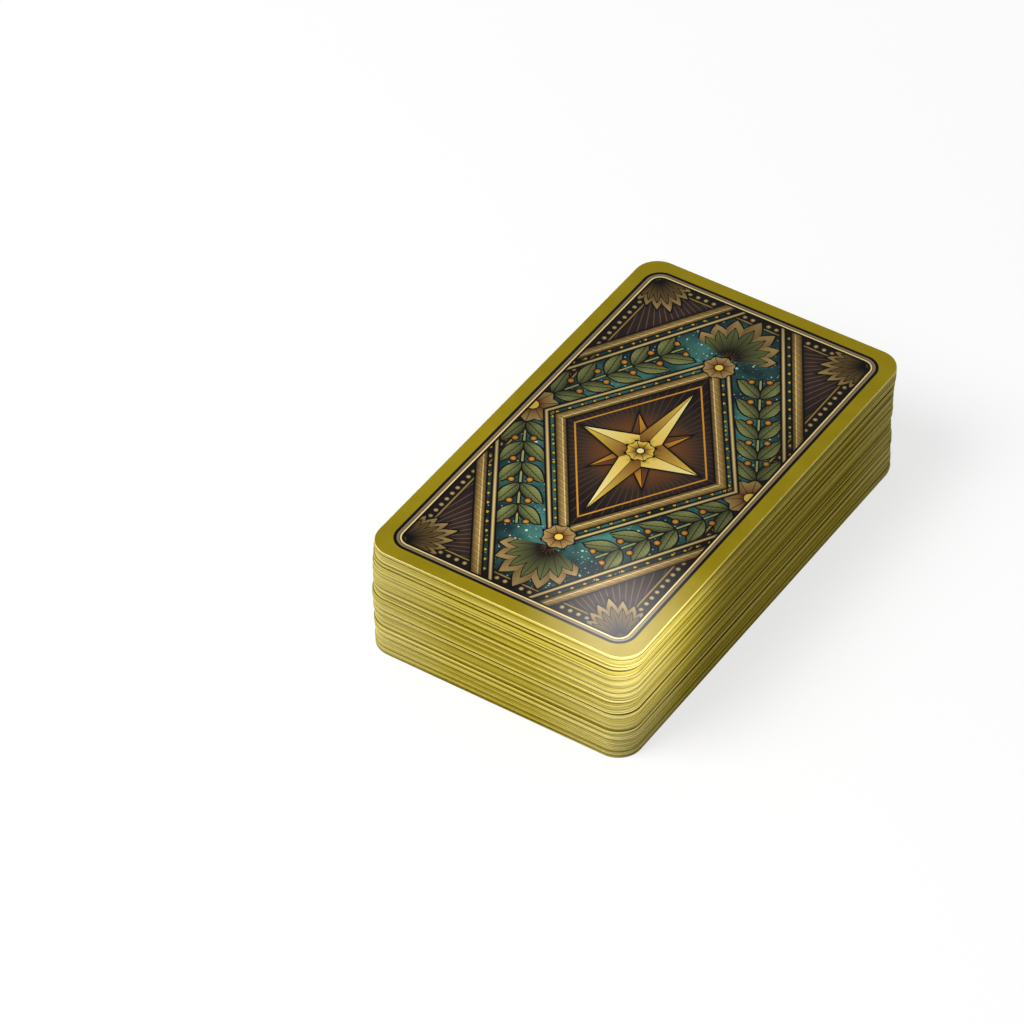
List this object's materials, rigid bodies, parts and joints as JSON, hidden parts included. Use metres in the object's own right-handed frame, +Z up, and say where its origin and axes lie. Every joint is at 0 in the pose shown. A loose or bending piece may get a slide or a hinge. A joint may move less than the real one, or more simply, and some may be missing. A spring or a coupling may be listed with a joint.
{
  "type": "tarot card deck",
  "caption": "Deck of gilt-edged tarot cards squared up face down; its cards fan out about one corner and the top card slides off sideways.",
  "frame": {"origin": "middle of the bottom card's underside, on the table", "axes": "+X across the cards, +Y along the cards, +Z up from the table"},
  "size_m": [0.0708, 0.1206, 0.0311],
  "materials": {
    "gilt_card": "satin coated board, printed back, metallic gilt edges"
  },
  "bodies": {
    "bottom_packet": {"bottom_packet": "gilt_card"},
    "top_card": {"top_card": "gilt_card"},
    "card_02": {"card_02": "gilt_card"},
    "card_03": {"card_03": "gilt_card"},
    "card_04": {"card_04": "gilt_card"},
    "card_05": {"card_05": "gilt_card"},
    "card_06": {"card_06": "gilt_card"},
    "card_07": {"card_07": "gilt_card"},
    "card_08": {"card_08": "gilt_card"},
    "card_09": {"card_09": "gilt_card"},
    "card_10": {"card_10": "gilt_card"},
    "card_11": {"card_11": "gilt_card"},
    "card_12": {"card_12": "gilt_card"},
    "card_13": {"card_13": "gilt_card"},
    "card_14": {"card_14": "gilt_card"},
    "card_15": {"card_15": "gilt_card"},
    "card_16": {"card_16": "gilt_card"},
    "card_17": {"card_17": "gilt_card"},
    "card_18": {"card_18": "gilt_card"},
    "card_19": {"card_19": "gilt_card"},
    "card_20": {"card_20": "gilt_card"},
    "card_21": {"card_21": "gilt_card"},
    "card_22": {"card_22": "gilt_card"},
    "card_23": {"card_23": "gilt_card"},
    "card_24": {"card_24": "gilt_card"},
    "card_25": {"card_25": "gilt_card"},
    "card_26": {"card_26": "gilt_card"},
    "card_27": {"card_27": "gilt_card"},
    "card_28": {"card_28": "gilt_card"},
    "card_29": {"card_29": "gilt_card"},
    "card_30": {"card_30": "gilt_card"},
    "card_31": {"card_31": "gilt_card"},
    "card_32": {"card_32": "gilt_card"},
    "card_33": {"card_33": "gilt_card"},
    "card_34": {"card_34": "gilt_card"},
    "card_35": {"card_35": "gilt_card"},
    "card_36": {"card_36": "gilt_card"},
    "card_37": {"card_37": "gilt_card"},
    "card_38": {"card_38": "gilt_card"},
    "card_39": {"card_39": "gilt_card"},
    "card_40": {"card_40": "gilt_card"},
    "card_41": {"card_41": "gilt_card"},
    "card_42": {"card_42": "gilt_card"},
    "card_43": {"card_43": "gilt_card"},
    "card_44": {"card_44": "gilt_card"},
    "card_45": {"card_45": "gilt_card"},
    "card_46": {"card_46": "gilt_card"},
    "card_47": {"card_47": "gilt_card"},
    "card_48": {"card_48": "gilt_card"},
    "card_49": {"card_49": "gilt_card"},
    "card_50": {"card_50": "gilt_card"},
    "card_51": {"card_51": "gilt_card"},
    "card_52": {"card_52": "gilt_card"},
    "card_53": {"card_53": "gilt_card"},
    "card_54": {"card_54": "gilt_card"},
    "card_55": {"card_55": "gilt_card"},
    "card_56": {"card_56": "gilt_card"},
    "card_57": {"card_57": "gilt_card"},
    "card_58": {"card_58": "gilt_card"},
    "card_59": {"card_59": "gilt_card"}
  },
  "joints": [
    {"name": "top_card_deal", "type": "slide", "parent": "bottom_packet", "child": "top_card", "axis": [1, 0, 0], "range_m": [0, 0.075]},
    {"name": "card_02_fan", "type": "hinge", "parent": "bottom_packet", "child": "card_02", "pos_m": [0.0292, -0.05381, 0.0304], "axis": [0, 0, 1], "range_deg": [0, 150]},
    {"name": "card_03_fan", "type": "hinge", "parent": "bottom_packet", "child": "card_03", "pos_m": [0.02914, -0.05368, 0.03], "axis": [0, 0, 1], "range_deg": [0, 147.41]},
    {"name": "card_04_fan", "type": "hinge", "parent": "bottom_packet", "child": "card_04", "pos_m": [0.02925, -0.05378, 0.0296], "axis": [0, 0, 1], "range_deg": [0, 144.83]},
    {"name": "card_05_fan", "type": "hinge", "parent": "bottom_packet", "child": "card_05", "pos_m": [0.02896, -0.0538, 0.0292], "axis": [0, 0, 1], "range_deg": [0, 142.24]},
    {"name": "card_06_fan", "type": "hinge", "parent": "bottom_packet", "child": "card_06", "pos_m": [0.02903, -0.05371, 0.0288], "axis": [0, 0, 1], "range_deg": [0, 139.66]},
    {"name": "card_07_fan", "type": "hinge", "parent": "bottom_packet", "child": "card_07", "pos_m": [0.02906, -0.0537, 0.0284], "axis": [0, 0, 1], "range_deg": [0, 137.07]},
    {"name": "card_08_fan", "type": "hinge", "parent": "bottom_packet", "child": "card_08", "pos_m": [0.02917, -0.05371, 0.028], "axis": [0, 0, 1], "range_deg": [0, 134.48]},
    {"name": "card_09_fan", "type": "hinge", "parent": "bottom_packet", "child": "card_09", "pos_m": [0.02888, -0.05383, 0.0276], "axis": [0, 0, 1], "range_deg": [0, 131.9]},
    {"name": "card_10_fan", "type": "hinge", "parent": "bottom_packet", "child": "card_10", "pos_m": [0.02882, -0.05371, 0.0272], "axis": [0, 0, 1], "range_deg": [0, 129.31]},
    {"name": "card_11_fan", "type": "hinge", "parent": "bottom_packet", "child": "card_11", "pos_m": [0.02892, -0.05367, 0.0268], "axis": [0, 0, 1], "range_deg": [0, 126.72]},
    {"name": "card_12_fan", "type": "hinge", "parent": "bottom_packet", "child": "card_12", "pos_m": [0.02887, -0.05376, 0.0264], "axis": [0, 0, 1], "range_deg": [0, 124.14]},
    {"name": "card_13_fan", "type": "hinge", "parent": "bottom_packet", "child": "card_13", "pos_m": [0.02883, -0.05389, 0.026], "axis": [0, 0, 1], "range_deg": [0, 121.55]},
    {"name": "card_14_fan", "type": "hinge", "parent": "bottom_packet", "child": "card_14", "pos_m": [0.02884, -0.05386, 0.0256], "axis": [0, 0, 1], "range_deg": [0, 118.97]},
    {"name": "card_15_fan", "type": "hinge", "parent": "bottom_packet", "child": "card_15", "pos_m": [0.0289, -0.05376, 0.0252], "axis": [0, 0, 1], "range_deg": [0, 116.38]},
    {"name": "card_16_fan", "type": "hinge", "parent": "bottom_packet", "child": "card_16", "pos_m": [0.02868, -0.05402, 0.0248], "axis": [0, 0, 1], "range_deg": [0, 113.79]},
    {"name": "card_17_fan", "type": "hinge", "parent": "bottom_packet", "child": "card_17", "pos_m": [0.02888, -0.05401, 0.0244], "axis": [0, 0, 1], "range_deg": [0, 111.21]},
    {"name": "card_18_fan", "type": "hinge", "parent": "bottom_packet", "child": "card_18", "pos_m": [0.02888, -0.05399, 0.024], "axis": [0, 0, 1], "range_deg": [0, 108.62]},
    {"name": "card_19_fan", "type": "hinge", "parent": "bottom_packet", "child": "card_19", "pos_m": [0.02886, -0.05397, 0.0236], "axis": [0, 0, 1], "range_deg": [0, 106.03]},
    {"name": "card_20_fan", "type": "hinge", "parent": "bottom_packet", "child": "card_20", "pos_m": [0.02874, -0.05407, 0.0232], "axis": [0, 0, 1], "range_deg": [0, 103.45]},
    {"name": "card_21_fan", "type": "hinge", "parent": "bottom_packet", "child": "card_21", "pos_m": [0.02875, -0.05405, 0.0228], "axis": [0, 0, 1], "range_deg": [0, 100.86]},
    {"name": "card_22_fan", "type": "hinge", "parent": "bottom_packet", "child": "card_22", "pos_m": [0.02869, -0.05407, 0.0224], "axis": [0, 0, 1], "range_deg": [0, 98.28]},
    {"name": "card_23_fan", "type": "hinge", "parent": "bottom_packet", "child": "card_23", "pos_m": [0.02873, -0.05388, 0.022], "axis": [0, 0, 1], "range_deg": [0, 95.69]},
    {"name": "card_24_fan", "type": "hinge", "parent": "bottom_packet", "child": "card_24", "pos_m": [0.02876, -0.05379, 0.0216], "axis": [0, 0, 1], "range_deg": [0, 93.1]},
    {"name": "card_25_fan", "type": "hinge", "parent": "bottom_packet", "child": "card_25", "pos_m": [0.02867, -0.0538, 0.0212], "axis": [0, 0, 1], "range_deg": [0, 90.52]},
    {"name": "card_26_fan", "type": "hinge", "parent": "bottom_packet", "child": "card_26", "pos_m": [0.02871, -0.05382, 0.0208], "axis": [0, 0, 1], "range_deg": [0, 87.93]},
    {"name": "card_27_fan", "type": "hinge", "parent": "bottom_packet", "child": "card_27", "pos_m": [0.02868, -0.05394, 0.0204], "axis": [0, 0, 1], "range_deg": [0, 85.34]},
    {"name": "card_28_fan", "type": "hinge", "parent": "bottom_packet", "child": "card_28", "pos_m": [0.02862, -0.05392, 0.02], "axis": [0, 0, 1], "range_deg": [0, 82.76]},
    {"name": "card_29_fan", "type": "hinge", "parent": "bottom_packet", "child": "card_29", "pos_m": [0.02876, -0.05384, 0.0196], "axis": [0, 0, 1], "range_deg": [0, 80.17]},
    {"name": "card_30_fan", "type": "hinge", "parent": "bottom_packet", "child": "card_30", "pos_m": [0.02876, -0.05393, 0.0192], "axis": [0, 0, 1], "range_deg": [0, 77.59]},
    {"name": "card_31_fan", "type": "hinge", "parent": "bottom_packet", "child": "card_31", "pos_m": [0.02883, -0.05392, 0.0188], "axis": [0, 0, 1], "range_deg": [0, 75]},
    {"name": "card_32_fan", "type": "hinge", "parent": "bottom_packet", "child": "card_32", "pos_m": [0.02888, -0.05386, 0.0184], "axis": [0, 0, 1], "range_deg": [0, 72.41]},
    {"name": "card_33_fan", "type": "hinge", "parent": "bottom_packet", "child": "card_33", "pos_m": [0.02887, -0.05387, 0.018], "axis": [0, 0, 1], "range_deg": [0, 69.83]},
    {"name": "card_34_fan", "type": "hinge", "parent": "bottom_packet", "child": "card_34", "pos_m": [0.02888, -0.05374, 0.0176], "axis": [0, 0, 1], "range_deg": [0, 67.24]},
    {"name": "card_35_fan", "type": "hinge", "parent": "bottom_packet", "child": "card_35", "pos_m": [0.02895, -0.05391, 0.0172], "axis": [0, 0, 1], "range_deg": [0, 64.66]},
    {"name": "card_36_fan", "type": "hinge", "parent": "bottom_packet", "child": "card_36", "pos_m": [0.02869, -0.05387, 0.0168], "axis": [0, 0, 1], "range_deg": [0, 62.07]},
    {"name": "card_37_fan", "type": "hinge", "parent": "bottom_packet", "child": "card_37", "pos_m": [0.02858, -0.05411, 0.0164], "axis": [0, 0, 1], "range_deg": [0, 59.48]},
    {"name": "card_38_fan", "type": "hinge", "parent": "bottom_packet", "child": "card_38", "pos_m": [0.02859, -0.05403, 0.016], "axis": [0, 0, 1], "range_deg": [0, 56.9]},
    {"name": "card_39_fan", "type": "hinge", "parent": "bottom_packet", "child": "card_39", "pos_m": [0.02846, -0.05409, 0.0156], "axis": [0, 0, 1], "range_deg": [0, 54.31]},
    {"name": "card_40_fan", "type": "hinge", "parent": "bottom_packet", "child": "card_40", "pos_m": [0.02845, -0.05418, 0.0152], "axis": [0, 0, 1], "range_deg": [0, 51.72]},
    {"name": "card_41_fan", "type": "hinge", "parent": "bottom_packet", "child": "card_41", "pos_m": [0.02856, -0.05402, 0.0148], "axis": [0, 0, 1], "range_deg": [0, 49.14]},
    {"name": "card_42_fan", "type": "hinge", "parent": "bottom_packet", "child": "card_42", "pos_m": [0.0286, -0.05417, 0.0144], "axis": [0, 0, 1], "range_deg": [0, 46.55]},
    {"name": "card_43_fan", "type": "hinge", "parent": "bottom_packet", "child": "card_43", "pos_m": [0.02865, -0.05409, 0.014], "axis": [0, 0, 1], "range_deg": [0, 43.97]},
    {"name": "card_44_fan", "type": "hinge", "parent": "bottom_packet", "child": "card_44", "pos_m": [0.02874, -0.05412, 0.0136], "axis": [0, 0, 1], "range_deg": [0, 41.38]},
    {"name": "card_45_fan", "type": "hinge", "parent": "bottom_packet", "child": "card_45", "pos_m": [0.02877, -0.05404, 0.0132], "axis": [0, 0, 1], "range_deg": [0, 38.79]},
    {"name": "card_46_fan", "type": "hinge", "parent": "bottom_packet", "child": "card_46", "pos_m": [0.02894, -0.05402, 0.0128], "axis": [0, 0, 1], "range_deg": [0, 36.21]},
    {"name": "card_47_fan", "type": "hinge", "parent": "bottom_packet", "child": "card_47", "pos_m": [0.02887, -0.05408, 0.0124], "axis": [0, 0, 1], "range_deg": [0, 33.62]},
    {"name": "card_48_fan", "type": "hinge", "parent": "bottom_packet", "child": "card_48", "pos_m": [0.02872, -0.05414, 0.012], "axis": [0, 0, 1], "range_deg": [0, 31.03]},
    {"name": "card_49_fan", "type": "hinge", "parent": "bottom_packet", "child": "card_49", "pos_m": [0.02871, -0.05414, 0.0116], "axis": [0, 0, 1], "range_deg": [0, 28.45]},
    {"name": "card_50_fan", "type": "hinge", "parent": "bottom_packet", "child": "card_50", "pos_m": [0.02865, -0.05408, 0.0112], "axis": [0, 0, 1], "range_deg": [0, 25.86]},
    {"name": "card_51_fan", "type": "hinge", "parent": "bottom_packet", "child": "card_51", "pos_m": [0.02876, -0.05388, 0.0108], "axis": [0, 0, 1], "range_deg": [0, 23.28]},
    {"name": "card_52_fan", "type": "hinge", "parent": "bottom_packet", "child": "card_52", "pos_m": [0.02878, -0.05379, 0.0104], "axis": [0, 0, 1], "range_deg": [0, 20.69]},
    {"name": "card_53_fan", "type": "hinge", "parent": "bottom_packet", "child": "card_53", "pos_m": [0.02894, -0.05379, 0.01], "axis": [0, 0, 1], "range_deg": [0, 18.1]},
    {"name": "card_54_fan", "type": "hinge", "parent": "bottom_packet", "child": "card_54", "pos_m": [0.02895, -0.05385, 0.0096], "axis": [0, 0, 1], "range_deg": [0, 15.52]},
    {"name": "card_55_fan", "type": "hinge", "parent": "bottom_packet", "child": "card_55", "pos_m": [0.029, -0.05385, 0.0092], "axis": [0, 0, 1], "range_deg": [0, 12.93]},
    {"name": "card_56_fan", "type": "hinge", "parent": "bottom_packet", "child": "card_56", "pos_m": [0.02888, -0.05384, 0.0088], "axis": [0, 0, 1], "range_deg": [0, 10.34]},
    {"name": "card_57_fan", "type": "hinge", "parent": "bottom_packet", "child": "card_57", "pos_m": [0.029, -0.05377, 0.0084], "axis": [0, 0, 1], "range_deg": [0, 7.76]},
    {"name": "card_58_fan", "type": "hinge", "parent": "bottom_packet", "child": "card_58", "pos_m": [0.0288, -0.05403, 0.008], "axis": [0, 0, 1], "range_deg": [0, 5.17]},
    {"name": "card_59_fan", "type": "hinge", "parent": "bottom_packet", "child": "card_59", "pos_m": [0.02896, -0.054, 0.0076], "axis": [0, 0, 1], "range_deg": [0, 2.59]}
  ]
}
